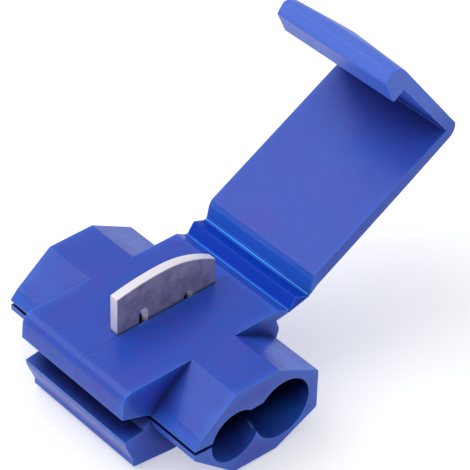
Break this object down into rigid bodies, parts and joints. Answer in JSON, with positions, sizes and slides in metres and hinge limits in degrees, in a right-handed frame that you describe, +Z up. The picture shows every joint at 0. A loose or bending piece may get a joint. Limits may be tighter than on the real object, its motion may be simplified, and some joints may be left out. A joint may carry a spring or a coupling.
{
  "type": "quick-splice tap connector",
  "caption": "Moulded quick-splice tap connector: wire channels side by side, a raised contact blade, and a latching cover on a double living hinge.",
  "frame": {"origin": "on the flat underside of the housing, below the middle of the contact blade", "axes": "+X along the wire channels towards the open end of the tap channel, +Y from the jaws towards the hinge, +Z up out of the flat top"},
  "size_m": [0.025, 0.0379, 0.0288],
  "materials": {
    "housing": "satin blue polypropylene",
    "contact_blade": "tin plated, rolled and sheared",
    "hinge_strip": "satin blue polypropylene",
    "cover": "satin blue polypropylene"
  },
  "bodies": {
    "housing": {"housing": "housing"},
    "contact_blade": {"contact_blade": "contact_blade"},
    "hinge_strip": {"hinge_strip": "hinge_strip"},
    "cover": {"cover": "cover"}
  },
  "joints": [
    {"name": "strip_fold", "type": "hinge", "parent": "housing", "child": "hinge_strip", "pos_m": [0, 0.00862, 0.00838], "axis": [1, 0, 0], "range_deg": [0, 88]},
    {"name": "cover_fold", "type": "hinge", "parent": "hinge_strip", "child": "cover", "pos_m": [0, 0.01082, 0.00892], "axis": [1, 0, 0], "range_deg": [0, 63]},
    {"name": "blade_press", "type": "slide", "parent": "housing", "child": "contact_blade", "axis": [0, 0, -1], "range_m": [0, 0.0044]}
  ],
  "couplings": [
    {"joint": "cover_fold", "follows": "blade_press", "rad_per_m": 249.8}
  ]
}
